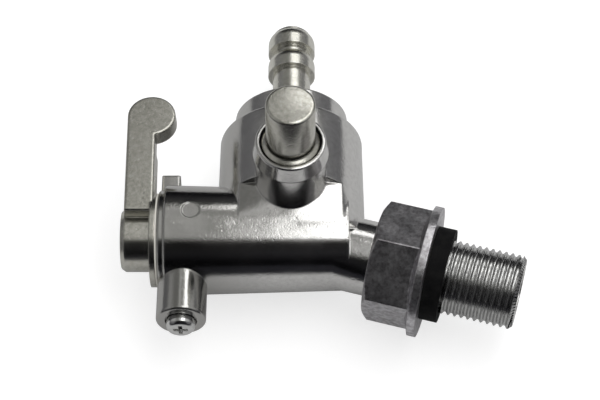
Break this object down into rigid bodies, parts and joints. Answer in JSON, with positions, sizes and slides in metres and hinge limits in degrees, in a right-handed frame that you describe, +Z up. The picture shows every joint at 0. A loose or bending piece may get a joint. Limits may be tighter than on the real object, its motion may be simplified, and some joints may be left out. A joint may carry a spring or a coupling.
{
  "type": "fuel tap",
  "caption": "Inline fuel tap with a threaded stud, lock nut and rubber washer, a quarter-turn lever, a filter housing and a barbed hose nipple.",
  "frame": {"origin": "where the threaded stud's axis meets the rubber washer's tank face", "axes": "+X along the valve barrel towards the stud's end, +Y along the hose outlet towards the hose, +Z up, out of the blanked front port; the stud leaves 15.5 degrees below +X, towards -Y"},
  "size_m": [0.0764, 0.0706, 0.0477],
  "materials": {
    "plated_casting": "bright satin nickel-like plating over a die casting",
    "plated_lever": "satin plating, slightly warm, with a fine as-cast grain",
    "plated_nipple": "turned and plated, satin",
    "zinc_nut": "dull zinc plating over formed steel",
    "plated_steel": "bright plated steel",
    "machined_brass": "turned brass, plain",
    "black_rubber": "matte black nitrile rubber",
    "plain_plastic": "natural acetal, matte",
    "filter_mesh": "fine woven stainless gauze"
  },
  "bodies": {
    "root": {"body": "plated_casting", "retaining_screw": "plated_steel", "spring_washer": "plated_steel", "blanking_plug": "plated_lever", "blanking_plug_seal": "black_rubber", "outlet_cap": "plated_casting", "outlet_cap_seal": "black_rubber", "hose_nipple": "plated_nipple", "filter_frame": "plain_plastic", "filter_gauze": "filter_mesh"},
    "lever_and_rotor": {"lever": "plated_lever", "rotor": "machined_brass", "outer_rotor_seal": "black_rubber", "inner_rotor_seal": "black_rubber", "friction_washer": "plain_plastic"},
    "washer": {"sealing_washer": "black_rubber"},
    "nut": {"lock_nut": "zinc_nut"}
  },
  "joints": [
    {"name": "lever_turn", "type": "hinge", "parent": "root", "child": "lever_and_rotor", "pos_m": [-0.0292, 0.0081, 0], "axis": [1, 0, 0], "range_deg": [0, 90]},
    {"name": "nut_travel", "type": "slide", "parent": "root", "child": "washer", "axis": [0.9636, -0.2672, 0], "range_m": [0, 0.0125]},
    {"name": "nut_turn", "type": "hinge", "parent": "washer", "child": "nut", "pos_m": [0, 0, 0], "axis": [0.9636, -0.2672, 0], "range_deg": [0, 3600]}
  ],
  "couplings": [
    {"joint": "nut_travel", "follows": "nut_turn", "m_per_rad": 0.00019894}
  ]
}
